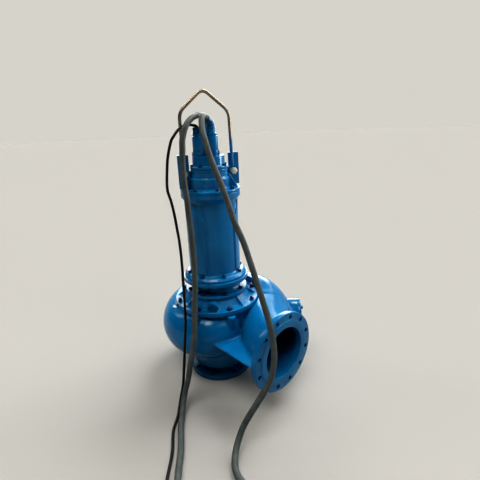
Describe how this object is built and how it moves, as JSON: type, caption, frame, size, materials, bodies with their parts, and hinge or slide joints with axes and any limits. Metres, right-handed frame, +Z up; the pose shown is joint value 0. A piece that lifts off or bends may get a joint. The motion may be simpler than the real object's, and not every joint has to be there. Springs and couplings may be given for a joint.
{
  "type": "submersible screw pump",
  "caption": "Upright submersible sewage pump with a screw impeller, volute casing with a side discharge flange, a lifting bail and free cables wound in coils.",
  "frame": {"origin": "on the floor, under the middle of the pump's own box without its cables", "axes": "+Z up along the shaft, +X out of the discharge flange"},
  "size_m": [1.6347, 1.2961, 1.4877],
  "materials": {
    "blue_enamel": "gloss enamel sprayed over iron castings",
    "bail_steel": "bare drawn stainless bar",
    "zinc_bolt": "bright plated",
    "impeller_iron": "cast, thinly painted",
    "power_sheath": "satin rubber sheath",
    "control_sheath": "black rubber sheath",
    "shrink_cap": "heat-shrunk end cap"
  },
  "bodies": {
    "root": {"volute_casing": "blue_enamel", "discharge_flange": "blue_enamel", "suction_ring": "blue_enamel", "impeller": "impeller_iron", "clean_out_cover": "blue_enamel", "volute_cover": "blue_enamel", "oil_chamber": "blue_enamel", "motor_casing": "blue_enamel", "upper_cover": "blue_enamel", "junction_lid": "blue_enamel", "control_gland_foot": "blue_enamel", "control_gland_body": "blue_enamel", "control_gland_collar": "blue_enamel", "control_strain_relief": "blue_enamel", "power_a_gland_foot": "blue_enamel", "power_a_gland_body": "blue_enamel", "power_a_gland_collar": "blue_enamel", "power_a_strain_relief": "blue_enamel", "power_b_gland_foot": "blue_enamel", "power_b_gland_body": "blue_enamel", "power_b_gland_collar": "blue_enamel", "power_b_strain_relief": "blue_enamel", "lifting_bail": "bail_steel", "left_bracket": "blue_enamel", "left_bracket_bolt": "zinc_bolt", "right_bracket": "blue_enamel", "right_bracket_bolt": "zinc_bolt", "control_cable": "control_sheath", "control_cable_coil": "control_sheath", "control_cable_cap": "shrink_cap", "power_a_cable": "power_sheath", "power_a_cable_coil": "power_sheath", "power_a_cable_cap": "shrink_cap", "power_b_cable": "power_sheath", "power_b_cable_coil": "power_sheath", "power_b_cable_cap": "shrink_cap"}
  },
  "joints": []
}
